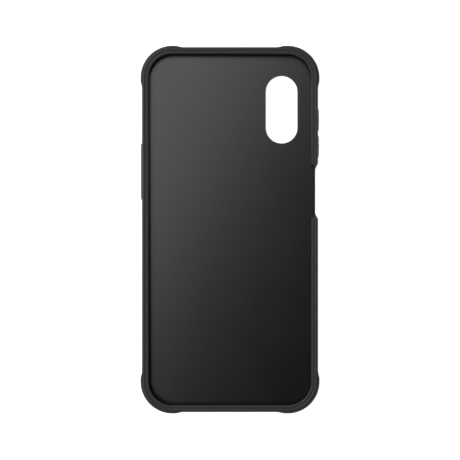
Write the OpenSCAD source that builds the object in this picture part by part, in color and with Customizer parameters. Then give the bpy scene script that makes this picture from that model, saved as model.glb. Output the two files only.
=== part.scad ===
// Rugged slim case for a 6.6 inch phone: a soft frame moulded round a hard back plate,
// with four corner guards, three sprung key covers and a camera ring.
// The case lies on its back. X is right and Z is up through the front opening, seen from
// the front. +Y points to the phone's top end. Z = 0 is the plane that the case rests on.

/* [Phone pocket] */
// Width of the phone that the pocket holds
phone_w = 80.0; // [76:0.5:96]
// Length of the phone
phone_l = 169.0; // [160:0.5:205]
// Thickness of the phone
phone_t = 10.2; // [8:0.1:13]
// Gap between the phone and the pocket wall
pocket_gap = 0.1; // [0.05:0.01:0.2]
// Corner radius of the pocket
pocket_r = 12.9; // [10:0.1:15]

/* [Frame] */
// Thickness of the frame's side wall
wall = 1.4; // [1.2:0.05:2]
// Reach of the front lip, from the outer face to the opening
lip_reach = 3.3; // [3.0:0.1:4.5]
// Thickness of the lip, from its underside to the crest of its bead
lip_t = 1.2; // [1.0:0.1:1.6]
// Radius of the bead that runs round the opening
bead_r = 0.84; // [0.7:0.02:0.9]
// Distance from the bead to the edge of the opening
bead_set = 0.06; // [0.02:0.01:0.1]
// Radius of the shoulder between the side wall and the front
shoulder_r = 0.9; // [0.6:0.05:1.2]
// How far the shoulder stays below the bead's crest
shoulder_drop = 0.45; // [0.3:0.05:0.6]
// Depth of the front groove between the shoulder and the bead
groove_depth = 0.3; // [0.1:0.05:0.4]
// Radius of the frame's back edge
back_edge_r = 2.6; // [1.6:0.1:2.8]
// Reach of the flange that holds the back plate
flange_reach = 3.2; // [3.0:0.1:4.5]

/* [Back plate] */
// Thickness of the hard back plate
plate_t = 1.4; // [1.2:0.1:2.4]
// Reach of the tongue moulded into the flange
tongue_reach = 1.0; // [0.6:0.1:1.4]
// Thickness of the tongue
tongue_t = 0.6; // [0.4:0.1:0.8]
// Thickness of the inner lining
lining_t = 0.4; // [0.3:0.05:0.8]
// Gap between the lining's edge and the pocket wall
lining_gap = 0.2; // [0.1:0.05:0.5]
// Width of the sunk panel in the back
panel_w = 46; // [30:1:50]
// Length of the sunk panel in the back
panel_l = 92; // [60:1:96]
// Corner radius of the sunk panel
panel_r = 5; // [1:0.5:8]
// Depth of the sunk panel
panel_depth = 0.35; // [0.2:0.05:0.5]
// Distance from the case's middle down to the sunk panel's middle
panel_drop = 26; // [20:1:28]
// Number of slanted ribs left standing in the sunk panel
panel_ribs = 6; // [2:1:8]
// Width of a slanted rib
panel_rib_w = 2.4; // [1:0.2:4]
// Angle of the ribs, up from the case's width
panel_slant = 30; // [10:5:45]

/* [Corner guards] */
// How far a guard stands out from the frame
guard_proud = 0.7; // [0.4:0.05:1.2]
// How far a guard runs on past the corner's curve at full thickness
guard_run = 1.3; // [0.5:0.1:3]
// Length of the ramp at a guard's end
guard_ramp = 3.3; // [2:0.1:6]
// Thickness left at the tip of a ramp
guard_tip = 0.1; // [0.05:0.01:0.2]
// Height of the foot that a guard puts under the back
foot_h = 0.8; // [0.6:0.1:1.5]
// Width of the foot, from the frame's outer face inwards
foot_w = 5.4; // [4:0.1:7]

/* [Key covers] */
// Length of each volume key cover
volume_key_l = 10.6; // [8:0.1:14]
// Distance from the case's middle up to the volume-up cover
volume_up_y = 51.8; // [50:0.1:56]
// Distance from the case's middle up to the volume-down cover
volume_down_y = 39.2; // [35:0.1:40]
// Length of the side key cover on the left
side_key_l = 26.9; // [15:0.1:30]
// Distance from the case's middle up to the side key cover
side_key_y = 27.4; // [20:0.1:40]
// Height of every key cover
key_h = 5.2; // [4.2:0.1:6]
// Corner radius of a key cover, seen from its side
key_r = 2.0; // [1.0:0.1:2.0]
// How far a key cover stands out from the side wall
key_proud = 0.5; // [0.3:0.05:1]
// Length of the ramp at each end of a key cover
key_ramp = 0.9; // [0.4:0.1:2]
// How far the foot of a key cover's ramp lies below the wall's face
key_sink = 0.05; // [0.02:0.01:0.1]
// Depth of a key cover's root inside the wall
key_root = 0.5; // [0.3:0.05:0.6]
// Gap between a key cover and its slot
key_gap = 0.35; // [0.25:0.05:0.6]
// Travel of a key cover
key_travel = 0.35; // [0.2:0.05:0.35]
// Thickness of the web behind a key cover
web_t = 0.25; // [0.2:0.05:0.35]
// Clearance between a web's rim and its slot
web_gap = 0.1; // [0.05:0.01:0.2]
// Thickness of the actuator pad, from the cover's root to the phone's key
actuator_t = 0.6; // [0.4:0.05:0.6]
// Height of the actuator pad
actuator_h = 2.4; // [1.5:0.1:3]
// Length of the actuator pad taken up at the two ends of its cover
actuator_short = 3.6; // [2:0.1:6]

/* [Side key notch] */
// Distance from the case's middle up to the notch
notch_y = 18.1; // [10:0.1:20]
// Length of the notch at the phone's side
notch_l = 21.2; // [15:0.1:24]
// How far each end of the notch flares outwards across the wall
notch_flare = 3.0; // [0.5:0.1:4]
// How far each end of the notch flares towards the front
notch_slope = 2.5; // [1:0.1:3]
// Depth from the front at which that slope starts
notch_slope_h = 5.0; // [3:0.1:7]
// Thickness left in the sill of the notch, beyond the phone's side
sill_t = 0.4; // [0.3:0.05:0.6]
// How far the notch reaches below the plate's inner face
notch_under = 0.2; // [0.1:0.05:0.4]
// How far the cut through the lip reaches below the lip
lip_undercut = 0.4; // [0.2:0.1:0.6]

/* [Ports] */
// Width of the charging port's cut-out
usb_w = 12.4; // [10:0.1:16]
// Height of the charging port's cut-out
usb_h = 6.2; // [5.6:0.1:6.4]
// Corner radius of the charging port's cut-out
usb_r = 2.7; // [1.0:0.1:2.7]
// Width of the flared rim round the charging port
usb_flare = 0.9; // [0.4:0.1:1.2]
// Depth of the flared rim
flare_depth = 0.5; // [0.3:0.1:0.7]
// Distance from the middle to the loudspeaker slot
speaker_x = 17.0; // [16:0.5:24]
// Width of the loudspeaker slot
speaker_w = 10.0; // [8:0.5:14]
// Height of the loudspeaker slot
speaker_h = 2.6; // [1.5:0.1:4]
// Distance from the middle to the headphone hole
jack_x = 18.5; // [15:0.5:23]
// Diameter of the headphone hole
jack_d = 7.0; // [6:0.1:7.4]
// Distance from the middle to each microphone hole
mic_x = 12.0; // [10:0.5:14]
// Diameter of a microphone hole
mic_d = 1.8; // [1:0.1:2.5]

/* [Camera window] */
// Distance from the middle to the window's centre line
camera_x = 24.5; // [20:0.5:25]
// Distance from the case's middle up to the window's middle
camera_y = 57.0; // [50:0.5:60]
// Width of the window
camera_w = 15.0; // [12:0.5:17]
// Length of the window
camera_l = 32.0; // [20:0.5:36]
// Width of the camera ring's wall in the plate
ring_wall = 1.2; // [0.8:0.1:1.6]
// Width of the camera ring's flange outside the plate
ring_flange = 2.4; // [2:0.1:3]

/* [Grip strips] */
// Distance from the middle to each grip strip
strip_x = 31.0; // [28:0.5:33]
// Width of a grip strip
strip_w = 5.0; // [3:0.5:6]
// Length of a grip strip
strip_l = 78.0; // [50:1:84]
// Distance from the case's middle down to the strips' middle
strip_drop = 18.0; // [10:1:24]
// Thickness of a strip's base
strip_t = 0.3; // [0.2:0.05:0.4]
// Height of the ribs on a strip
strip_rib_t = 0.2; // [0.1:0.05:0.3]
// Distance from a strip's edge to the ends of its ribs
strip_rib_in = 0.5; // [0.3:0.1:1]
// Number of ribs on a strip
strip_ribs = 17; // [8:1:20]

/* [Hidden] */
$fn = 64;
over = 1;                 // how far a cutter runs past what it cuts
arc_step = 15;            // angle between the points of a rounded section
guard_crown = 60;         // angle that a guard's crown turns through
guard_meet = 3;           // the shoulder's point that a guard's crown comes down to
past_wall = 0.1;          // how far the notch runs past the wall's inner face

pocket_w = phone_w + 2 * pocket_gap;
pocket_l = phone_l + 2 * pocket_gap;
pocket_t = phone_t + pocket_gap;
outer_w = pocket_w + 2 * wall;
outer_l = pocket_l + 2 * wall;
outer_r = pocket_r + wall;
half_w = outer_w / 2;
half_l = outer_l / 2;
centre_x = half_w - outer_r;
centre_y = half_l - outer_r;

back_z = foot_h;
plate_z = back_z + plate_t;
floor_z = plate_z + lining_t;
lip_z = floor_z + pocket_t;
top_z = lip_z + lip_t;
key_z = floor_z + pocket_t / 2;
bead_in = lip_reach - bead_r - bead_set;      // from the outer face to the bead's middle
bead_z = top_z - bead_r;
shoulder_top = top_z - shoulder_drop;
groove_in = bead_in - bead_r;
tongue_z = back_z + (plate_t - tongue_t) / 2;
guard_end = guard_run + guard_ramp;

// Sections are lists of [distance in from the outer face, height].
back_edge = [for (a = [0 : arc_step : 90])
    [back_edge_r * (1 - sin(a)), back_z + back_edge_r * (1 - cos(a))]];
shoulder = [for (a = [0 : arc_step : 90])
    [shoulder_r * (1 - cos(a)), shoulder_top - shoulder_r * (1 - sin(a))]];
bead = [for (a = [arc_step : arc_step : 180 - arc_step])
    [bead_in - bead_r * cos(a), bead_z + bead_r * sin(a)]];
frame_section = concat(
    back_edge,
    shoulder,
    [[groove_in, shoulder_top - groove_depth]],
    bead,
    [[lip_reach, bead_z], [lip_reach, lip_z], [wall, lip_z], [wall, plate_z],
     [flange_reach, plate_z], [flange_reach, tongue_z + tongue_t],
     [flange_reach - tongue_reach, tongue_z + tongue_t], [flange_reach - tongue_reach, tongue_z],
     [flange_reach, tongue_z], [flange_reach, back_z]]);
foot_edge = [for (a = [0 : arc_step : 90])
    [back_edge_r * (1 - sin(a)) - guard_proud, back_edge_r * (1 - cos(a))]];
guard_top = [for (a = [0 : arc_step : guard_crown])
    [(shoulder_r + guard_proud) * (1 - cos(a)) - guard_proud,
     shoulder_top - shoulder_r + (shoulder_r + guard_proud / 2) * sin(a) - guard_proud / 2]];
guard_section = concat(
    foot_edge,
    guard_top,
    [for (i = [guard_meet : -1 : 0]) shoulder[i]],
    [for (i = [len(back_edge) - 1 : -1 : 0]) back_edge[i]],
    [[foot_w, back_z], [foot_w - foot_h / 2, 0]]);

// ---- shared shapes ----

// A rectangle with true round corners.
module rounded_rect(w, l, r) {
    square([w - 2 * r, l], center = true);
    square([w, l - 2 * r], center = true);
    for (x = [-1, 1], y = [-1, 1])
        translate([x * (w / 2 - r), y * (l / 2 - r)]) circle(r);
}

// A slot with two half-round ends, its length along Y.
module pill(w, l) {
    square([w, l - w], center = true);
    for (y = [-1, 1]) translate([0, y * (l - w) / 2]) circle(d = w);
}

// The 2D section, measured outwards from the middle of a corner.
module section(points) {
    polygon([for (p = points) [outer_r - p[0], p[1]]]);
}

// A straight run of a section, its middle at the corner's middle.
module run(points, length) {
    rotate([90, 0, 0]) linear_extrude(height = length, center = true) section(points);
}

// A quarter turn of a section.
module bend(points) {
    rotate_extrude(angle = 90) section(points);
}

// A flat shape in Y and Z, given thickness from x0 to x1.
module through_x(x0, x1) {
    translate([x0, 0, 0]) rotate([90, 0, 90]) linear_extrude(height = x1 - x0) children();
}

// A flat shape in X and Z, cut through the end wall; side is 1 at the top and -1 at the bottom.
module through_end(side, x, depth = wall) {
    translate([x, side * (half_l - depth / 2 + over / 2), key_z])
        rotate([90, 0, 0]) linear_extrude(height = depth + over, center = true) children();
}

// ---- frame, plate and lining ----

// The ring of frame, before anything is cut out of it.
module frame_ring() {
    for (side = [0, 180]) rotate([0, 0, side]) {
        translate([centre_x, 0, 0]) run(frame_section, 2 * centre_y);
        translate([0, centre_y, 0]) rotate([0, 0, 90]) run(frame_section, 2 * centre_x);
        translate([centre_x, centre_y, 0]) bend(frame_section);
        translate([-centre_x, centre_y, 0]) rotate([0, 0, 90]) bend(frame_section);
    }
}

module key_slot(length) {
    translate([0, 0, key_z]) through_x(half_w - wall - over, half_w + over)
        rounded_rect(length + 2 * key_gap, key_h + 2 * key_gap, key_r + key_gap);
}

// The open notch that bares the phone's own side key.
module notch_cutter() {
    low_z = plate_z - notch_under;
    slope_z = top_z - notch_slope_h;
    half = notch_l / 2;
    rise = (top_z + over - slope_z) / notch_slope_h;
    wide = half + notch_slope * rise;
    // through the side wall, down to just under the lining
    through_x(half_w - wall - past_wall, half_w + over)
        polygon([[-half, low_z], [half, low_z], [half, slope_z],
                 [wide, top_z + over], [-wide, top_z + over], [-half, slope_z]]);
    // through the lip
    intersection() {
        through_x(half_w - lip_reach - over, half_w + over)
            polygon([[-half, slope_z], [half, slope_z],
                     [wide, top_z + over], [-wide, top_z + over]]);
        translate([half_w - lip_reach - over, -outer_l / 2, lip_z - lip_undercut])
            cube([lip_reach + 2 * over, outer_l, lip_t + 2 * over]);
    }
    // the scoop that flares outwards, through the whole height
    flare = half + notch_flare * (wall - sill_t + over) / (wall - sill_t);
    translate([0, 0, -over]) linear_extrude(height = top_z + 2 * over)
        polygon([[half_w - wall + sill_t, -half], [half_w + over, -flare],
                 [half_w + over, flare], [half_w - wall + sill_t, half]]);
}

module port_cutters() {
    through_end(-1, 0) rounded_rect(usb_w, usb_h, usb_r);
    through_end(-1, 0, flare_depth)
        rounded_rect(usb_w + 2 * usb_flare, usb_h + 2 * usb_flare, usb_r + usb_flare);
    through_end(-1, speaker_x) rotate(90) pill(speaker_h, speaker_w);
    through_end(-1, -mic_x) circle(d = mic_d);
    through_end(1, -jack_x) circle(d = jack_d);
    through_end(1, mic_x) circle(d = mic_d);
}

module bumper_frame() {
    color([0.13, 0.13, 0.13]) difference() {
        frame_ring();
        translate([0, volume_up_y, 0]) key_slot(volume_key_l);
        translate([0, volume_down_y, 0]) key_slot(volume_key_l);
        translate([0, side_key_y, 0]) mirror([1, 0, 0]) key_slot(side_key_l);
        translate([0, notch_y, 0]) notch_cutter();
        port_cutters();
    }
}

// The sunk panel with slanted ribs left in it.
module panel_cutter() {
    pitch = panel_l / panel_ribs;
    difference() {
        translate([0, -panel_drop, back_z - over])
            linear_extrude(height = over + panel_depth) rounded_rect(panel_w, panel_l, panel_r);
        for (i = [0 : panel_ribs - 1])
            translate([0, (i + 0.5) * pitch - panel_l / 2 - panel_drop, back_z - 2 * over])
                rotate([0, 0, panel_slant]) translate([-panel_w, -panel_rib_w / 2, 0])
                    cube([2 * panel_w, panel_rib_w, 4 * over]);
    }
}

module back_plate() {
    plate_in = 2 * flange_reach;
    tongue_in = 2 * (flange_reach - tongue_reach);
    color([0.10, 0.10, 0.105]) difference() {
        union() {
            translate([0, 0, back_z]) linear_extrude(height = plate_t)
                rounded_rect(outer_w - plate_in, outer_l - plate_in, outer_r - flange_reach);
            translate([0, 0, tongue_z]) linear_extrude(height = tongue_t)
                rounded_rect(outer_w - tongue_in, outer_l - tongue_in, outer_r - tongue_in / 2);
        }
        panel_cutter();
        translate([camera_x, camera_y, back_z - over]) linear_extrude(height = plate_t + 2 * over)
            pill(camera_w + 2 * ring_wall, camera_l + 2 * ring_wall);
    }
}

module back_lining() {
    edge_in = 2 * (wall + lining_gap);
    color([0.16, 0.16, 0.17]) difference() {
        translate([0, 0, plate_z]) linear_extrude(height = lining_t)
            rounded_rect(outer_w - edge_in, outer_l - edge_in, outer_r - edge_in / 2);
        translate([camera_x, camera_y, plate_z - over]) linear_extrude(height = lining_t + 2 * over)
            pill(camera_w + 2 * lining_gap, camera_l + 2 * lining_gap);
    }
}

module camera_ring() {
    color([0.07, 0.07, 0.075]) translate([camera_x, camera_y, 0]) difference() {
        union() {
            linear_extrude(height = plate_z)
                pill(camera_w + 2 * ring_wall, camera_l + 2 * ring_wall);
            linear_extrude(height = back_z)
                pill(camera_w + 2 * ring_flange, camera_l + 2 * ring_flange);
        }
        translate([0, 0, -over]) linear_extrude(height = plate_z + 2 * over)
            pill(camera_w, camera_l);
    }
}

// ---- corner guards ----

// One guard, for the corner at +X and +Y, its corner's middle at the origin.
module corner_guard() {
    tip = outer_r + guard_tip;
    slope = (guard_proud - guard_tip) / guard_ramp;
    past = 4;                                     // the ramp's line, carried on past the guard
    far = tip + slope * (guard_end + past);
    inner = outer_r - foot_w - over;
    intersection() {
        union() {
            bend(guard_section);
            translate([0, -guard_end / 2, 0]) run(guard_section, guard_end);
            translate([-guard_end / 2, 0, 0]) rotate([0, 0, 90]) run(guard_section, guard_end);
        }
        translate([0, 0, -over]) linear_extrude(height = top_z + 2 * over)
            polygon([[inner, -guard_end], [tip, -guard_end], [far, past], [far, far],
                     [past, far], [-guard_end, tip], [-guard_end, inner]]);
    }
}

// A guard placed at one corner, clear of any port that reaches it; x and y are 1 or -1.
module guard_at(x, y) {
    color([0.12, 0.12, 0.12]) difference() {
        mirror([x < 0 ? 1 : 0, 0, 0]) mirror([0, y < 0 ? 1 : 0, 0])
            translate([centre_x, centre_y, 0]) corner_guard();
        port_cutters();
    }
}

// ---- key covers, made for the right-hand wall ----

module key_cover(length) {
    root_x = half_w - key_root;
    face_x = half_w + key_proud;
    shallow = half_w - key_sink;
    half = length / 2;
    color([0.14, 0.14, 0.14]) intersection() {
        translate([0, 0, key_z]) through_x(root_x, face_x) rounded_rect(length, key_h, key_r);
        // ramped ends, seen from the front
        linear_extrude(height = top_z)
            polygon([[root_x, -half], [shallow, -half], [face_x, key_ramp - half],
                     [face_x, half - key_ramp], [shallow, half], [root_x, half]]);
        // eased long edges, seen along the wall
        translate([0, 0, key_z]) rotate([90, 0, 0]) linear_extrude(height = length, center = true)
            polygon([[root_x, -key_h / 2], [shallow, -key_h / 2], [face_x, key_ramp - key_h / 2],
                     [face_x, key_h / 2 - key_ramp], [shallow, key_h / 2], [root_x, key_h / 2]]);
    }
}

module key_web(length) {
    rim = 2 * (key_gap - web_gap);
    color([0.10, 0.10, 0.10]) translate([0, 0, key_z]) difference() {
        through_x(half_w - key_root - web_t, half_w - key_root)
            rounded_rect(length + rim, key_h + rim, key_r + rim / 2);
        through_x(half_w - key_root - web_t - over, half_w - key_root + over)
            rotate(90) pill(actuator_h, length - actuator_short);
    }
}

module key_actuator(length) {
    color([0.05, 0.05, 0.05]) translate([0, 0, key_z])
        through_x(half_w - key_root - actuator_t, half_w - key_root)
            rotate(90) pill(actuator_h, length - actuator_short);
}

module on_right(y) {
    translate([0, y, 0]) children();
}

module on_left(y) {
    translate([0, y, 0]) mirror([1, 0, 0]) children();
}

// ---- grip strips on the back ----

module grip_strip(x) {
    pitch = (strip_l - strip_w) / strip_ribs;
    color([0.12, 0.12, 0.12]) translate([x, -strip_drop, 0]) {
        translate([0, 0, back_z - strip_t]) linear_extrude(height = strip_t)
            pill(strip_w, strip_l);
        for (i = [0 : strip_ribs - 1])
            translate([0, (i + 0.5 - strip_ribs / 2) * pitch, back_z - strip_t - strip_rib_t / 2])
                cube([strip_w - 2 * strip_rib_in, pitch / 2, strip_rib_t], center = true);
    }
}

bumper_frame();
back_plate();
back_lining();
camera_ring();
guard_at(-1, 1);  // corner_guard_top_left
guard_at(1, 1);  // corner_guard_top_right
guard_at(-1, -1);  // corner_guard_bottom_left
guard_at(1, -1);  // corner_guard_bottom_right
on_right(volume_up_y) key_cover(volume_key_l);  // volume_up_cover
on_right(volume_up_y) key_web(volume_key_l);  // volume_up_web
on_right(volume_up_y) key_actuator(volume_key_l);  // volume_up_actuator
on_right(volume_down_y) key_cover(volume_key_l);  // volume_down_cover
on_right(volume_down_y) key_web(volume_key_l);  // volume_down_web
on_right(volume_down_y) key_actuator(volume_key_l);  // volume_down_actuator
on_left(side_key_y) key_cover(side_key_l);  // side_key_cover
on_left(side_key_y) key_web(side_key_l);  // side_key_web
on_left(side_key_y) key_actuator(side_key_l);  // side_key_actuator
grip_strip(-strip_x);  // grip_strip_left
grip_strip(strip_x);  // grip_strip_right
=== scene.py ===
import math
import bpy
import bmesh
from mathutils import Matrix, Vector


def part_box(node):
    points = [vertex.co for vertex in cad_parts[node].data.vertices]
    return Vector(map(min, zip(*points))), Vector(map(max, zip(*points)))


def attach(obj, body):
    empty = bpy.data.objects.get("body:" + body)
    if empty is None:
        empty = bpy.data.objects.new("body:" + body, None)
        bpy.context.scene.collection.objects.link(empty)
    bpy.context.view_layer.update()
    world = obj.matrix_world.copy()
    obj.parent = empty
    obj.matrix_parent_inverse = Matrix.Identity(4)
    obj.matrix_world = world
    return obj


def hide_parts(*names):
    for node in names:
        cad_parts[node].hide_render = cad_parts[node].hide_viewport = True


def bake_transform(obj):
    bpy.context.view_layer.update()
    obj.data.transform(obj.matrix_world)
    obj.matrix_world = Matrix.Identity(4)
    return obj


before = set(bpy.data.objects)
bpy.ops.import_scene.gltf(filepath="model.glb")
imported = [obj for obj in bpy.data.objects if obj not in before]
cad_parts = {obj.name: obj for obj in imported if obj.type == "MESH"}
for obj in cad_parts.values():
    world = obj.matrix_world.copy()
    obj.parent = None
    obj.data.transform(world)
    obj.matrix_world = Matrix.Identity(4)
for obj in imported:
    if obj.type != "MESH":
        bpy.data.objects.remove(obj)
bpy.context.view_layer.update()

# ---- The studio ----
# The case lies on its back on white paper, seen from straight above through a long lens.
# A large softbox hangs over its upper left, and a white tent, open at the top, stands round
# it, so flat faces pick up a gradient and upright ones pick up the tent's walls.
camera_place = (0, -0.0002, 1.217)
camera_lens = 200
tent_light = 1.15
tent_lean = (-0.30, 0.20, 0)    # the tent's upper left is brighter than its lower right
roof_light = 0.02
roof_edge = (0.40, 0.85)        # how steep a look up starts and ends the fade from wall to roof
paper_glow = 0.75
paper_size = 8
paper_z = -0.0001               # just below the case, so that their faces don't coincide

lens = bpy.data.cameras.new("camera")
lens.lens = camera_lens
lens.sensor_width = 36
lens.clip_start = 0.05
lens.clip_end = 30
camera = bpy.data.objects.new("camera", lens)
camera.location = camera_place
bpy.context.collection.objects.link(camera)
bpy.context.scene.camera = camera
bpy.context.scene.view_settings.view_transform = "Standard"


def softbox(name, place, aim, size, watts):
    """A square area light at place, pointing at aim."""
    light = bpy.data.lights.new(name, "AREA")
    light.size = size
    light.energy = watts
    lamp = bpy.data.objects.new(name, light)
    lamp.location = place
    lamp.rotation_euler = (Vector(aim) - Vector(place)).to_track_quat("-Z", "Y").to_euler()
    bpy.context.collection.objects.link(lamp)


softbox("key_softbox", place=(-0.639, 0.353, 1.549), aim=(0, 0, 0), size=1.5, watts=19.8)

tent = bpy.data.worlds.new("white_tent")
tent.use_nodes = True
nodes = tent.node_tree.nodes
link = tent.node_tree.links.new
direction = nodes.new("ShaderNodeTexCoord")
split = nodes.new("ShaderNodeSeparateXYZ")
roof = nodes.new("ShaderNodeMapRange")
roof.inputs["From Min"].default_value = roof_edge[0]
roof.inputs["From Max"].default_value = roof_edge[1]
roof.inputs["To Min"].default_value = tent_light
roof.inputs["To Max"].default_value = roof_light
lean = nodes.new("ShaderNodeVectorMath")
lean.operation = "DOT_PRODUCT"
lean.inputs[1].default_value = tent_lean
weight = nodes.new("ShaderNodeMath")
weight.operation = "ADD"
weight.inputs[1].default_value = 1
strength = nodes.new("ShaderNodeMath")
strength.operation = "MULTIPLY"
link(direction.outputs["Generated"], split.inputs["Vector"])
link(direction.outputs["Generated"], lean.inputs[0])
link(split.outputs["Z"], roof.inputs["Value"])
link(lean.outputs["Value"], weight.inputs[0])
link(roof.outputs["Result"], strength.inputs[0])
link(weight.outputs["Value"], strength.inputs[1])
link(strength.outputs["Value"], nodes["Background"].inputs["Strength"])
nodes["Background"].inputs["Color"].default_value = (1, 1, 1, 1)
bpy.context.scene.world = tent

bpy.ops.mesh.primitive_plane_add(size=paper_size, location=(0, 0, paper_z))
floor = bpy.context.object
floor.name = "floor"
paper = bpy.data.materials.new("white_paper")
paper.use_nodes = True
sheet = paper.node_tree.nodes["Principled BSDF"]
sheet.inputs["Base Color"].default_value = (0.93, 0.93, 0.93, 1)
sheet.inputs["Roughness"].default_value = 0.9
sheet.inputs["Emission Color"].default_value = (1, 1, 1, 1)
sheet.inputs["Emission Strength"].default_value = paper_glow
floor.data.materials.append(paper)

# ---- Bumper frame ----
# The soft frame is one moulding of black TPU: a flange that grips the back plate, a side
# wall, a rounded shoulder, a shallow groove and a round bead about the open front.
# It is swept round the case from one section, then cut for its keys, ports and notch.
MM = 0.001
X, Y, Z = 0, 1, 2
frame_low, frame_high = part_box("bumper_frame")
half_w = frame_high.x
half_l = frame_high.y
back_z = frame_low.z
top_z = frame_high.z
corner_r = 14.3 * MM
corner_x = half_w - corner_r
corner_y = half_l - corner_r
wall = 1.4 * MM
lip_reach = 3.3 * MM
lip_z = top_z - 1.2 * MM
bead_r = 0.80 * MM
bead_in = 2.50 * MM
shoulder_r = 0.9 * MM
shoulder_in = 1.12 * MM
shoulder_z = top_z - 0.45 * MM
groove_in = 1.76 * MM
groove_z = shoulder_z - 0.17 * MM
back_edge_r = 2.6 * MM
flange_reach = 3.2 * MM
plate_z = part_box("back_plate")[1].z
floor_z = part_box("back_lining")[1].z
key_z = (floor_z + lip_z) / 2
corner_steps = 28
edge_steps = 8
shoulder_steps = 9
groove_steps = 5
bead_steps = 7
bead_arc = (100, 170)           # the bead's turn, from just past its crest down to the opening
past = 1.0 * MM                 # how far a cutter runs on past what it cuts
lip_edge = 0.12 * MM            # the bevel under the lip, at the opening
lip_root = 0.3 * MM             # the bevel where the lip meets the wall
frame_edge = 0.12 * MM          # the rounding of the frame's cut edges
hair = 0.01 * MM                # points closer than this count as one
weld = 0.001 * MM               # doubled points closer than this are merged
crease = 32                     # the angle past which an edge stays sharp


def arc(centre, radius, start, end, steps):
    """Points on an arc of a section; the angle is 0 outwards and 90 upwards."""
    angles = [math.radians(start + (end - start) * i / steps) for i in range(steps + 1)]
    return [(centre[0] - radius * math.cos(a), centre[1] + radius * math.sin(a)) for a in angles]


def eased(first, last, steps):
    """Points after first, down to or up to last, along half a wave."""
    shares = [(1 - math.cos(math.pi * i / steps)) / 2 for i in range(1, steps + 1)]
    return [(first[0] + (last[0] - first[0]) * i / steps, first[1] + (last[1] - first[1]) * share)
            for i, share in enumerate(shares, 1)]


def alone(piece):
    """Leaves piece as the only selected object, and the active one."""
    bpy.ops.object.select_all(action="DESELECT")
    piece.select_set(True)
    bpy.context.view_layer.objects.active = piece


def close_up(piece):
    """Merges doubled points and turns every face outwards."""
    alone(piece)
    bpy.ops.object.mode_set(mode="EDIT")
    bpy.ops.mesh.select_all(action="SELECT")
    bpy.ops.mesh.remove_doubles(threshold=weld)
    bpy.ops.mesh.normals_make_consistent(inside=False)
    bpy.ops.object.mode_set(mode="OBJECT")


def settle(piece):
    """Moves a piece's place, turn and size into its mesh."""
    alone(piece)
    bpy.ops.object.transform_apply(location=True, rotation=True, scale=True)


def shaped_loop(name, places, fill):
    """A ring of edges through the given places, left selected in edit mode."""
    bpy.ops.object.select_all(action="DESELECT")
    bpy.ops.mesh.primitive_circle_add(vertices=len(places), radius=1, fill_type=fill)
    loop = bpy.context.object
    loop.name = name
    for vertex, place in zip(loop.data.vertices, places):
        vertex.co = place
    bpy.ops.object.mode_set(mode="EDIT")
    bpy.ops.mesh.select_all(action="SELECT")
    return loop


def drawn_on(x, y, z=0, steps=1):
    """Draws the selected loop on by (x, y, z)."""
    for _ in range(steps):
        bpy.ops.mesh.extrude_region_move(
            TRANSFORM_OT_translate={"value": (x / steps, y / steps, z / steps)})


def quarter_turn(x, y, steps):
    """Spins the selected loop a quarter turn about (x, y), anticlockwise from above."""
    bpy.ops.mesh.spin(steps=steps, angle=-math.pi / 2, center=(x, y, 0), axis=(0, 0, 1))


def swept_ring(name, section, x, y, outer_r, steps):
    """A closed ring about four corner middles at (+-x, +-y), from one section that is given
    as (distance in from the outer face, height)."""
    ring = shaped_loop(name, [(x + outer_r - inwards, 0, height) for inwards, height in section],
                       "NOTHING")
    drawn_on(0, y)
    quarter_turn(x, y, steps)
    if x > 0:
        drawn_on(-2 * x, 0)
    quarter_turn(-x, y, steps)
    drawn_on(0, -2 * y)
    quarter_turn(-x, -y, steps)
    if x > 0:
        drawn_on(2 * x, 0)
    quarter_turn(x, -y, steps)
    drawn_on(0, y)
    bpy.ops.object.mode_set(mode="OBJECT")
    close_up(ring)
    return ring


def slab(name, outline, axis, start, end):
    """A flat outline drawn on along axis; its points are in the other two axes' order."""
    others = [a for a in (X, Y, Z) if a != axis]
    places = []
    for first, second in outline:
        place = [start, start, start]
        place[others[0]], place[others[1]] = first, second
        places.append(place)
    body = shaped_loop(name, places, "NGON")
    step = [0, 0, 0]
    step[axis] = end - start
    drawn_on(*step)
    bpy.ops.object.mode_set(mode="OBJECT")
    close_up(body)
    return body


def rounded_rect(middle, width, height, radius, steps=8):
    """The outline of a rectangle with round corners, or of a pill where the radius is half
    of its width."""
    outline = []
    for quarter, (right, up) in enumerate([(1, 1), (-1, 1), (-1, -1), (1, -1)]):
        centre = (middle[0] + right * (width / 2 - radius), middle[1] + up * (height / 2 - radius))
        for i in range(steps + 1):
            turn = math.pi / 2 * (quarter + i / steps)
            point = (centre[0] + radius * math.cos(turn), centre[1] + radius * math.sin(turn))
            if not outline or math.dist(point, outline[-1]) > hair:
                outline.append(point)
    if math.dist(outline[0], outline[-1]) < hair:
        outline.pop()
    return outline


cut_zones = []                  # the box of each cutter used so far


def cut(piece, cutter, operation="DIFFERENCE"):
    """Takes cutter away from piece, or adds it, and notes where that was."""
    places = [v.co for v in cutter.data.vertices]
    low = Vector([min(p[a] for p in places) - hair for a in (X, Y, Z)])
    high = Vector([max(p[a] for p in places) + hair for a in (X, Y, Z)])
    cut_zones.append((low, high))
    alone(piece)
    tool = piece.modifiers.new("cut", "BOOLEAN")
    tool.operation = operation
    tool.solver = "EXACT"
    tool.object = cutter
    bpy.ops.object.modifier_apply(modifier=tool.name)
    bpy.data.objects.remove(cutter, do_unlink=True)


def within(place, zone):
    """Whether a place is in a box, given as its low and high corners."""
    return all(zone[0][a] <= place[a] <= zone[1][a] for a in (X, Y, Z))


def smooth(piece):
    """Shades curved faces smooth and leaves broad flat ones flat."""
    alone(piece)
    bpy.ops.object.shade_smooth_by_angle(angle=math.radians(crease))
    weighting = piece.modifiers.new("weighting", "WEIGHTED_NORMAL")
    weighting.keep_sharp = True
    bpy.ops.object.modifier_apply(modifier=weighting.name)


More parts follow.
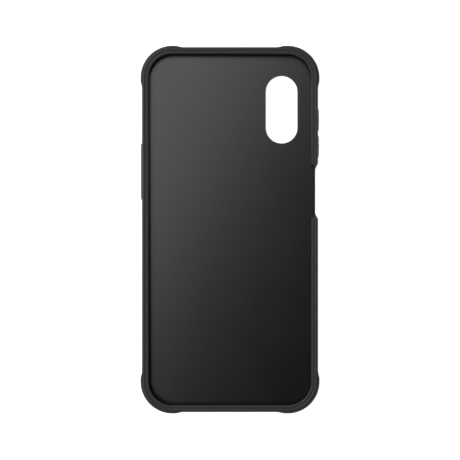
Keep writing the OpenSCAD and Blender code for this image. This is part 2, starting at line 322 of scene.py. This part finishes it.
def ease_edges(piece, width, zones=None, segments=2):
    """Rounds sharp edges by width, all of them or only those in zones, and smooths the rest."""
    alone(piece)
    bpy.ops.object.mode_set(mode="EDIT")
    bpy.ops.mesh.select_mode(type="EDGE")
    bpy.ops.mesh.select_all(action="DESELECT")
    mesh = bmesh.from_edit_mesh(piece.data)
    for edge in mesh.edges:
        if len(edge.link_faces) != 2 or edge.calc_face_angle() < math.radians(crease):
            continue
        ends = [v.co for v in edge.verts]
        edge.select = zones is None or any(
            all(within(end, zone) for end in ends) for zone in zones)
    bmesh.update_edit_mesh(piece.data)
    bpy.ops.mesh.bevel(offset=width, segments=segments, affect="EDGES", clamp_overlap=False)
    bpy.ops.mesh.select_mode(type="VERT")
    bpy.ops.mesh.select_all(action="SELECT")
    bpy.ops.mesh.dissolve_degenerate(threshold=weld)
    bpy.ops.object.mode_set(mode="OBJECT")
    smooth(piece)


def moulded_skin():
    """The skin that a textured mould leaves: fine grain, with broad soft changes in tone."""
    skin = bpy.data.node_groups.new("moulded_skin", "ShaderNodeTree")
    sockets = [
        ("Place", "INPUT", "NodeSocketVector"), ("Tone", "INPUT", "NodeSocketColor"),
        ("Mottle", "INPUT", "NodeSocketFloat"), ("Roughness", "INPUT", "NodeSocketFloat"),
        ("Roughness swing", "INPUT", "NodeSocketFloat"),
        ("Grain per metre", "INPUT", "NodeSocketFloat"),
        ("Tone", "OUTPUT", "NodeSocketColor"), ("Roughness", "OUTPUT", "NodeSocketFloat"),
        ("Height", "OUTPUT", "NodeSocketFloat")]
    for name, side, kind in sockets:
        skin.interface.new_socket(name=name, in_out=side, socket_type=kind)
    add = skin.nodes.new
    link = skin.links.new
    given = add("NodeGroupInput")
    result = add("NodeGroupOutput")

    def feed(socket, value):
        if isinstance(value, (int, float)):
            socket.default_value = value
        else:
            link(value, socket)

    def noise(scale, detail, softness):
        texture = add("ShaderNodeTexNoise")
        for socket, value in (("Scale", scale), ("Detail", detail), ("Roughness", softness)):
            feed(texture.inputs[socket], value)
        link(given.outputs["Place"], texture.inputs["Vector"])
        return texture.outputs["Fac"]

    def maths(operation, first, second):
        node = add("ShaderNodeMath")
        node.operation = operation
        feed(node.inputs[0], first)
        feed(node.inputs[1], second)
        return node.outputs["Value"]

    # the grain is noise with shallow pits in it; the tone swings with it, and more broadly
    grain_scale = given.outputs["Grain per metre"]
    pits_to_grain = 0.6
    grain_share, pits_share = 0.55, 0.45
    grain_in_swing = 0.8
    broad = noise(scale=55, detail=4, softness=0.6)
    grain = noise(grain_scale, detail=3, softness=0.65)
    pits = add("ShaderNodeTexVoronoi")
    pits.feature = "SMOOTH_F1"
    link(given.outputs["Place"], pits.inputs["Vector"])
    link(maths("MULTIPLY", grain_scale, pits_to_grain), pits.inputs["Scale"])
    height = maths("ADD", maths("MULTIPLY", grain, grain_share),
                   maths("MULTIPLY", pits.outputs["Distance"], pits_share))
    swing = maths("ADD", maths("SUBTRACT", broad, 0.5),
                  maths("MULTIPLY", maths("SUBTRACT", grain, 0.5), grain_in_swing))
    tint = add("ShaderNodeVectorMath")
    tint.operation = "SCALE"
    link(given.outputs["Tone"], tint.inputs["Vector"])
    link(maths("ADD", 1, maths("MULTIPLY", swing, given.outputs["Mottle"])), tint.inputs["Scale"])
    link(tint.outputs["Vector"], result.inputs["Tone"])
    rough_swing = maths("MULTIPLY", swing, given.outputs["Roughness swing"])
    link(maths("ADD", given.outputs["Roughness"], rough_swing), result.inputs["Roughness"])
    link(height, result.inputs["Height"])
    return skin


skin_group = moulded_skin()


def moulded(name, tone, roughness, grain, relief, mottle=0.5, swing=0.16, specular=0.5):
    """A moulded plastic or rubber: grain is the size of one grain, relief is its height."""
    material = bpy.data.materials.new(name)
    material.use_nodes = True
    nodes = material.node_tree.nodes
    link = material.node_tree.links.new
    shader = nodes["Principled BSDF"]
    place = nodes.new("ShaderNodeTexCoord")
    skin = nodes.new("ShaderNodeGroup")
    skin.node_tree = skin_group
    skin.inputs["Tone"].default_value = (*tone, 1)
    skin.inputs["Mottle"].default_value = mottle
    skin.inputs["Roughness"].default_value = roughness
    skin.inputs["Roughness swing"].default_value = swing
    skin.inputs["Grain per metre"].default_value = 1 / grain
    bump = nodes.new("ShaderNodeBump")
    bump.inputs["Distance"].default_value = relief
    link(place.outputs["Object"], skin.inputs["Place"])
    link(skin.outputs["Tone"], shader.inputs["Base Color"])
    link(skin.outputs["Roughness"], shader.inputs["Roughness"])
    link(skin.outputs["Height"], bump.inputs["Height"])
    link(bump.outputs["Normal"], shader.inputs["Normal"])
    shader.inputs["Specular IOR Level"].default_value = specular
    return material


def finish_piece(piece, body, node, material):
    """Gives a piece its finish, hangs it on the body it rides on, and hides the node it stands for.
    """
    piece.data.materials.clear()
    piece.data.materials.append(material)
    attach(piece, body)
    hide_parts(node)


back_edge = arc((back_edge_r, back_z + back_edge_r), back_edge_r, -90, 0, edge_steps)
shoulder = arc((shoulder_r, shoulder_z - shoulder_r), shoulder_r, 0, 90, shoulder_steps)
shoulder_end = (shoulder_in, shoulder_z)
groove_foot = (groove_in, groove_z)
groove = [shoulder_end] + eased(shoulder_end, groove_foot, groove_steps)
flank = eased(groove_foot, (bead_in, top_z), bead_steps)
bead = arc((bead_in, top_z - bead_r), bead_r, *bead_arc, bead_steps)
frame_section = back_edge + shoulder + groove + flank + bead + [
    (lip_reach, top_z - bead_r),
    (lip_reach, lip_z + lip_edge),
    (lip_reach - lip_edge, lip_z),
    (wall + lip_root, lip_z),
    (wall, lip_z - lip_root),
    (wall, plate_z),
    (flange_reach, plate_z),
    (flange_reach, back_z),
]
bumper = swept_ring("bumper_frame_soft", frame_section, corner_x, corner_y, corner_r, corner_steps)

# the three key slots
key_gap = 0.35 * MM
key_r = 2.0 * MM


def box_outline(node, grown, radius):
    """A CAD node's outline as seen from the side, grown all round."""
    low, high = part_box(node)
    middle = ((low.y + high.y) / 2, (low.z + high.z) / 2)
    return rounded_rect(middle, high.y - low.y + 2 * grown, high.z - low.z + 2 * grown, radius)


def side_of(node):
    """1 for a node on the right side wall and -1 for one on the left."""
    return 1 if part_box(node)[1].x > 0 else -1


for node in ("volume_up_cover", "volume_down_cover", "side_key_cover"):
    inner_x = side_of(node) * (half_w - wall - past)
    outer_x = side_of(node) * (half_w + past)
    cut(bumper, slab("slot", box_outline(node, key_gap, key_r + key_gap), X, inner_x, outer_x))

# the notch: through the wall, sloped towards the front, and scooped outwards at its ends
notch_y = 18.1 * MM
notch_half = 10.6 * MM
notch_flare = 3.0 * MM
notch_slope = 2.5 * MM
notch_slope_h = 5.0 * MM
nose_r = 0.6 * MM               # the lip's cut ends are round towards the front
nose_angle = 80
nose_steps = 6
scoop_steps = 10
sill = 1.0 * MM                 # how deep the scoops reach into the wall and the sill
overrun = 0.03 * MM             # how far a scoop's curve runs on past the outer face
under = 0.2 * MM                # how far the notch reaches below the plate's inner face
past_wall = 0.1 * MM            # how far the notch runs past the wall's inner face
lip_undercut = 0.4 * MM         # how far the cut through the lip reaches below the lip
lip_low = lip_z - lip_undercut
slope_z = top_z - notch_slope_h


def notch_reach(z):
    """Half of the notch's length at a height above where its slope starts."""
    return notch_half + notch_slope * (z - slope_z) / notch_slope_h


def notch_outline(low_end):
    """The notch as seen from the side, with its lower ends as given for one half."""
    nose_z = top_z - nose_r
    half = low_end + arc((notch_reach(nose_z) + nose_r, nose_z), nose_r, 0, nose_angle,
                         nose_steps)
    half.append((half[-1][0], top_z + past))
    return [(notch_y + reach, z) for reach, z in half] + [
        (notch_y - reach, z) for reach, z in reversed(half)]


cut(bumper, slab("notch", notch_outline([(notch_half, plate_z - under), (notch_half, slope_z)]),
                 X, half_w - wall - past_wall, half_w + past))
cut(bumper, slab("lip_notch", notch_outline([(notch_reach(lip_low), lip_low)]),
                 X, half_w - lip_reach - past, half_w + past))
scoop_end = [(half_w - sill, notch_half)] + [
    (half_w - sill + depth, reach) for reach, depth in eased(
        (notch_half, 0), (notch_half + notch_flare, sill + overrun), scoop_steps)]
scoop_end.append((half_w + past, scoop_end[-1][1]))
cut(bumper, slab(
    "scoop", [(x, notch_y + reach) for x, reach in scoop_end]
    + [(x, notch_y - reach) for x, reach in reversed(scoop_end)], Z, -past, top_z + past))


# the ports in the two ends
port_steps = 12


def end_cut(end, x, width, height, radius, depth):
    """Cuts a rounded hole into an end wall; end is 1 at the top and -1 at the bottom."""
    cut(bumper, slab("port", rounded_rect((x, key_z), width, height, radius, port_steps), Y,
                     end * (half_l - depth), end * (half_l + past)))


through = wall + past / 2
plug_w, plug_h, plug_r = 12.4 * MM, 6.2 * MM, 2.7 * MM
plug_flare = 0.9 * MM
flare_depth = 0.5 * MM
speaker_x, speaker_w, speaker_h = 17.0 * MM, 10.0 * MM, 2.6 * MM
jack_x, jack_d = 18.5 * MM, 7.0 * MM
mic_x, mic_d = 12 * MM, 1.8 * MM
end_cut(-1, 0, plug_w, plug_h, plug_r, through)
end_cut(-1, 0, plug_w + 2 * plug_flare, plug_h + 2 * plug_flare, plug_r + plug_flare, flare_depth)
end_cut(-1, speaker_x, speaker_w, speaker_h, speaker_h / 2, through)
end_cut(-1, -mic_x, mic_d, mic_d, mic_d / 2, through)
end_cut(1, -jack_x, jack_d, jack_d, jack_d / 2, through)
end_cut(1, mic_x, mic_d, mic_d, mic_d / 2, through)

# the cut edges are rounded as far up as the lip, whose cut ends have their noses already
eased_zones = [(low, Vector((high.x, high.y, min(high.z, lip_low)))) for low, high in cut_zones]
ease_edges(bumper, frame_edge, eased_zones)
soft_black = moulded(
    "moulded_tpu", (0.0135, 0.0130, 0.0128), roughness=0.50, grain=0.30 * MM, relief=0.014 * MM,
    specular=0.38)
finish_piece(bumper, "case", "bumper_frame", soft_black)

# ---- Corner guards ----
# Each corner carries a thicker guard of the same black TPU, moulded over the frame. It runs
# out at both ends in a short ramp, and turns under the back as a foot.
guard_proud = 0.7 * MM
guard_tip = 0.1 * MM
guard_run = 1.3 * MM
guard_ramp = 3.3 * MM
foot_w = 5.4 * MM
foot_edge = 0.3 * MM
ramp_steps = 8
crown_meets = 6                 # the point of the shoulder that the guard's crown comes down to
crown_drop = 0.05 * MM          # how far the crown stays below the shoulder's top
crown_z = shoulder_z - crown_drop
crown_h = 1.1 * MM
crown_steps = 7

guard_outside = arc((back_edge_r - guard_proud, back_edge_r), back_edge_r, -90, 0, edge_steps)
crown_in = shoulder[crown_meets][0]
guard_crown = [
    (crown_in - (crown_in + guard_proud) * math.cos(a), crown_z - crown_h + crown_h * math.sin(a))
    for a in [math.pi / 2 * i / crown_steps for i in range(crown_steps + 1)]]
guard_section = guard_outside + guard_crown + shoulder[crown_meets::-1] + back_edge[::-1] + [
    (foot_w, back_z),
    (foot_w, foot_edge),
    (foot_w - foot_edge, 0),
]
guard_end = guard_run + guard_ramp
guard = shaped_loop(
    "corner_guard_soft_top_right",
    [(half_w - inwards, corner_y - guard_end, height) for inwards, height in guard_section],
    "NOTHING")
drawn_on(0, guard_ramp, 0, ramp_steps)
drawn_on(0, guard_run)
quarter_turn(corner_x, corner_y, corner_steps)
drawn_on(-guard_run, 0)
drawn_on(-guard_ramp, 0, 0, ramp_steps)
bpy.ops.object.mode_set(mode="OBJECT")

# the ramps: what stands out of the frame eases down to a thin tip
for vertex in guard.data.vertices:
    along_side = (corner_y - guard_run - vertex.co.y) / guard_ramp
    along_end = (corner_x - guard_run - vertex.co.x) / guard_ramp
    share = max(along_side, along_end)
    if share <= 0:
        continue
    left = (1 + math.cos(math.pi * min(share, 1))) / 2
    keep = left + (1 - left) * guard_tip / guard_proud
    axis, face = (X, half_w) if along_side > along_end else (Y, half_l)
    if vertex.co[axis] > face:
        vertex.co[axis] = face + (vertex.co[axis] - face) * keep
close_up(guard)
alone(guard)
bpy.ops.object.mode_set(mode="EDIT")
bpy.ops.mesh.select_all(action="DESELECT")
bpy.ops.mesh.select_non_manifold(extend=False, use_wire=False, use_boundary=True,
                                 use_multi_face=False, use_non_contiguous=False, use_verts=False)
bpy.ops.mesh.edge_face_add()
bpy.ops.object.mode_set(mode="OBJECT")
close_up(guard)


def mirrored(piece, name, x, y):
    """A copy of piece with its own mesh, turned over in X, in Y or in both."""
    twin = piece.copy()
    twin.data = piece.data.copy()
    twin.name = name
    bpy.context.collection.objects.link(twin)
    twin.scale = (x, y, 1)
    settle(twin)
    close_up(twin)
    return twin


guards = {
    "corner_guard_top_right": guard,
    "corner_guard_top_left": mirrored(guard, "corner_guard_soft_top_left", -1, 1),
    "corner_guard_bottom_right": mirrored(guard, "corner_guard_soft_bottom_right", 1, -1),
    "corner_guard_bottom_left": mirrored(guard, "corner_guard_soft_bottom_left", -1, -1),
}
guard_black = moulded(
    "guard_tpu", (0.0130, 0.0126, 0.0124), roughness=0.54, grain=0.36 * MM, relief=0.02 * MM,
    specular=0.38)
for node, piece in guards.items():
    smooth(piece)
    finish_piece(piece, "case", node, guard_black)

# ---- Back plate ----
# A hard polycarbonate plate closes the back. Its tongue sits in the frame's flange, and a
# sunk panel with slanted ribs stiffens it.
plate_low, plate_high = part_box("back_plate")
tongue_reach = 1.0 * MM
tongue_t = 0.6 * MM
tongue_z = (back_z + plate_z - tongue_t) / 2
plate_w = plate_high.x - plate_low.x
plate_l = plate_high.y - plate_low.y
plate_r = corner_r - flange_reach
panel_w = 46 * MM
panel_l = 92 * MM
panel_r = 5 * MM
panel_depth = 0.35 * MM
panel_y = -26 * MM
panel_ribs = 6
panel_slant = 30
rib_w = 2.4 * MM
plate_edge = 0.1 * MM
plate_steps = 24                # steps in the corners of the plate, the lining and the windows
panel_steps = 12

plate = slab(
    "back_plate_hard",
    rounded_rect((0, 0), plate_w - 2 * tongue_reach, plate_l - 2 * tongue_reach, plate_r,
                 plate_steps),
    Z, back_z, plate_z)
cut(plate, slab(
    "tongue", rounded_rect((0, 0), plate_w, plate_l, plate_r + tongue_reach, plate_steps),
    Z, tongue_z, tongue_z + tongue_t), "UNION")
panel = slab("panel", rounded_rect((0, panel_y), panel_w, panel_l, panel_r, panel_steps),
             Z, back_z - past, back_z + panel_depth)
for i in range(panel_ribs):
    bpy.ops.object.select_all(action="DESELECT")
    bpy.ops.mesh.primitive_cube_add(
        size=1, location=(0, panel_y + ((i + 0.5) / panel_ribs - 0.5) * panel_l, back_z),
        rotation=(0, 0, math.radians(panel_slant)), scale=(2 * panel_w, rib_w, 4 * past))
    rib = bpy.context.object
    settle(rib)
    cut(panel, rib)
cut(plate, panel)
ring_low, ring_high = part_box("camera_ring")
ring_middle = ((ring_low.x + ring_high.x) / 2, (ring_low.y + ring_high.y) / 2)
ring_w = ring_high.x - ring_low.x
ring_l = ring_high.y - ring_low.y
ring_flange = 2.4 * MM
ring_wall = 1.2 * MM
hole_w = ring_w - 2 * (ring_flange - ring_wall)
hole_l = ring_l - 2 * (ring_flange - ring_wall)
cut(plate, slab("hole", rounded_rect(ring_middle, hole_w, hole_l, hole_w / 2, plate_steps),
                Z, -past, top_z))
ease_edges(plate, plate_edge)
hard_black = moulded(
    "plate_polycarbonate", (0.017, 0.0170, 0.0175), roughness=0.42, grain=0.16 * MM,
    relief=0.006 * MM)
finish_piece(plate, "case", "back_plate", hard_black)

# ---- Inner lining ----
# A thin black film with a satin face is bonded to the inside of the plate, with a window
# cut in it for the camera.
lining_low, lining_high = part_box("back_lining")
lining_gap = 0.2 * MM
lining_edge = 0.12 * MM
window_w = ring_w - 2 * ring_flange + 2 * lining_gap
window_l = ring_l - 2 * ring_flange + 2 * lining_gap
lining = slab(
    "back_lining_sheet",
    rounded_rect((0, 0), lining_high.x - lining_low.x, lining_high.y - lining_low.y,
                 corner_r - wall - lining_gap, plate_steps),
    Z, lining_low.z, lining_high.z)
cut(lining, slab(
    "window", rounded_rect(ring_middle, window_w, window_l, window_w / 2, plate_steps),
    Z, -past, top_z))
ease_edges(lining, lining_edge)
satin_black = moulded(
    "satin_film", (0.0011, 0.0010, 0.0010), roughness=0.19, grain=0.9 * MM,
    relief=0.0004 * MM, mottle=0.35, swing=0.04)
finish_piece(lining, "case", "back_lining", satin_black)

# ---- Camera ring ----
# A hard polycarbonate ring is bonded into the camera window. Its flange, outside the plate,
# stands level with the feet and keeps the camera's glass off the table.
ring_edge = 0.3 * MM
ring_edge_steps = 4
ring_mouth_steps = 5
ring_corner_steps = 18
ring_section = arc((ring_edge, ring_edge), ring_edge, 0, -90, ring_edge_steps) + arc(
    (ring_flange - 2 * ring_edge, 2 * ring_edge), -2 * ring_edge, 90, 0, ring_mouth_steps) + [
    (ring_flange, plate_z - ring_edge / 2),
    (ring_flange - ring_edge / 2, plate_z),
    (ring_flange - ring_wall, plate_z),
    (ring_flange - ring_wall, back_z),
    (0, back_z),
]
camera_ring = swept_ring("camera_ring_hard", ring_section, 0, (ring_l - ring_w) / 2, ring_w / 2,
                         ring_corner_steps)
camera_ring.location = (*ring_middle, 0)
settle(camera_ring)
smooth(camera_ring)
ring_black = moulded(
    "ring_polycarbonate", (0.012, 0.012, 0.0125), roughness=0.32, grain=0.14 * MM,
    relief=0.003 * MM)
finish_piece(camera_ring, "case", "camera_ring", ring_black)

# ---- Key covers ----
# Three raised covers of soft TPU stand in slots in the side walls. Each has a flat face with
# round shoulders. The volume covers carry a raised bar and cross, the side cover fine ribs.
cover_ramp = 0.9 * MM
cover_drop = 0.55 * MM
dome_steps = 6
square_on = 0.9                 # how squarely a face looks along X if it is a flat one
mark_l = 2.4 * MM
mark_w = 0.6 * MM
mark_t = 0.10 * MM
mark_r = mark_w / 2 - 0.02 * MM
mark_edge = 0.05 * MM
mark_steps = 4
rib_pitch = 3.0 * MM
long_key_raised = 0.1 * MM      # how much further out the long cover stands than its CAD node
key_black = moulded(
    "key_tpu", (0.0145, 0.0140, 0.0138), roughness=0.46, grain=0.22 * MM, relief=0.008 * MM,
    specular=0.4)


def edit_faces(piece, side):
    """Opens piece for editing, with its flat face towards the right (1) or left (-1) selected."""
    alone(piece)
    bpy.ops.object.mode_set(mode="EDIT")
    bpy.ops.mesh.select_mode(type="FACE")
    bpy.ops.mesh.select_all(action="DESELECT")
    mesh = bmesh.from_edit_mesh(piece.data)
    for face in mesh.faces:
        face.select = face.normal.x * side > square_on
    bmesh.update_edit_mesh(piece.data)


def key_cover(node, piece_name, body, marks, raised=0):
    """A cover whose outer face is drawn out in small insets, along a quarter ellipse. The
    marks are (distance along, length, height) of the raised bars on its face, and raised is
    how much further out the whole face stands."""
    low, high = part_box(node)
    side = side_of(node)
    face_x = (high.x if side > 0 else low.x) + side * raised
    root_x = low.x if side > 0 else high.x
    middle_y = (low.y + high.y) / 2
    cover = slab(piece_name, box_outline(node, 0, key_r), X, root_x, face_x - side * cover_drop)
    edit_faces(cover, side)
    before_in, before_out = 0, 0
    for i in range(1, dome_steps + 1):
        turn = math.pi / 2 * i / dome_steps
        inwards = cover_ramp * (1 - math.cos(turn))
        outwards = cover_drop * math.sin(turn)
        bpy.ops.mesh.inset(thickness=inwards - before_in, use_boundary=True)
        bpy.ops.transform.translate(value=(side * (outwards - before_out), 0, 0))
        before_in, before_out = inwards, outwards
    bpy.ops.mesh.select_mode(type="VERT")
    bpy.ops.object.mode_set(mode="OBJECT")
    close_up(cover)
    zones = len(cut_zones)
    for along, length, height in marks:
        outline = rounded_rect((middle_y + along, key_z), length, height, mark_r, mark_steps)
        cut(cover, slab("mark", outline, X, face_x - side * mark_t, face_x + side * mark_t), "UNION")
    ease_edges(cover, mark_edge, cut_zones[zones:])
    finish_piece(cover, body, node, key_black)


key_cover("volume_up_cover", "volume_up_key_cover", "volume_up",
          [(0, mark_l, mark_w), (0, mark_w, mark_l)])
key_cover("volume_down_cover", "volume_down_key_cover", "volume_down", [(0, mark_l, mark_w)])
key_cover("side_key_cover", "side_key_long_cover", "side_key",
          [(i * rib_pitch, mark_w, mark_l) for i in (-1, 0, 1)], raised=long_key_raised)

# ---- Key pads and webs ----
# Behind each cover a hard pad reaches the phone's own key. A thin dished web of TPU carries
# the cover and the pad. Its rim is moulded into the wall of the slot, and it springs them back.
pad_edge = 0.12 * MM
web_rise = 0.4 * MM             # the rim's height out from the web's flat middle
web_hold = 0.05 * MM            # how far the rim runs into the wall
web_steps = 4
pad_black = moulded(
    "pad_polycarbonate", (0.010, 0.010, 0.010), roughness=0.3, grain=0.12 * MM,
    relief=0.002 * MM)
web_black = moulded(
    "web_tpu", (0.016, 0.0156, 0.0154), roughness=0.6, grain=0.2 * MM, relief=0.008 * MM)
for body in ("volume_up", "volume_down", "side_key"):
    node = body + "_actuator"
    low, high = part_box(node)
    pad = slab(body + "_pad", box_outline(node, 0, (high.z - low.z) / 2), X, low.x, high.x)
    ease_edges(pad, pad_edge, segments=3)
    finish_piece(pad, body, node, pad_black)

    node = body + "_web"
    side = side_of(node)
    low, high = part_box(node)
    outer_x, inner_x = (high.x, low.x) if side > 0 else (low.x, high.x)
    rise = side * web_rise
    reach = key_gap + web_hold
    web = slab(body + "_spring_web", box_outline(body + "_cover", reach, key_r + reach), X,
               inner_x + rise, outer_x + rise)
    for facing in (-side, side):
        edit_faces(web, facing)
        before = (0, 0)
        for step in eased((0, 0), (reach, rise), web_steps):
            bpy.ops.mesh.inset(thickness=step[0] - before[0], use_boundary=True)
            bpy.ops.transform.translate(value=(before[1] - step[1], 0, 0))
            before = step
        bpy.ops.mesh.select_mode(type="VERT")
        bpy.ops.object.mode_set(mode="OBJECT")
    close_up(web)
    smooth(web)
    web.data.materials.clear()
    web.data.materials.append(web_black)
    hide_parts(node)
    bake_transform(web)

# ---- Grip strips ----
# Two strips of soft TPU are moulded on the back, one near each long side. Each is a thin pill
# with cross ribs that stand out of it, so that the case doesn't slide.
strip_rib_t = 0.2 * MM
strip_rib_root = 0.1 * MM       # how far a rib is sunk in the strip's base
strip_rib_in = 0.5 * MM
strip_ribs = 17
strip_edge = 0.07 * MM
strip_steps = 12
rib_steps = 4
grip_black = moulded(
    "grip_tpu", (0.018, 0.0175, 0.0172), roughness=0.62, grain=0.25 * MM, relief=0.012 * MM)
for side in ("left", "right"):
    node = "grip_strip_" + side
    low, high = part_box(node)
    strip_w = high.x - low.x
    strip_l = high.y - low.y
    middle = ((low.x + high.x) / 2, (low.y + high.y) / 2)
    pitch = (strip_l - strip_w) / strip_ribs
    strip = slab("grip_strip_soft_" + side,
                 rounded_rect(middle, strip_w, strip_l, strip_w / 2, strip_steps),
                 Z, high.z, low.z + strip_rib_t)
    for i in range(strip_ribs):
        rib_y = middle[1] + (i + 0.5 - strip_ribs / 2) * pitch
        outline = rounded_rect((middle[0], rib_y), strip_w - 2 * strip_rib_in, pitch / 2,
                               pitch / 5, rib_steps)
        cut(strip, slab("rib", outline, Z, low.z + strip_rib_t + strip_rib_root, low.z), "UNION")
    ease_edges(strip, strip_edge)
    finish_piece(strip, "case", node, grip_black)
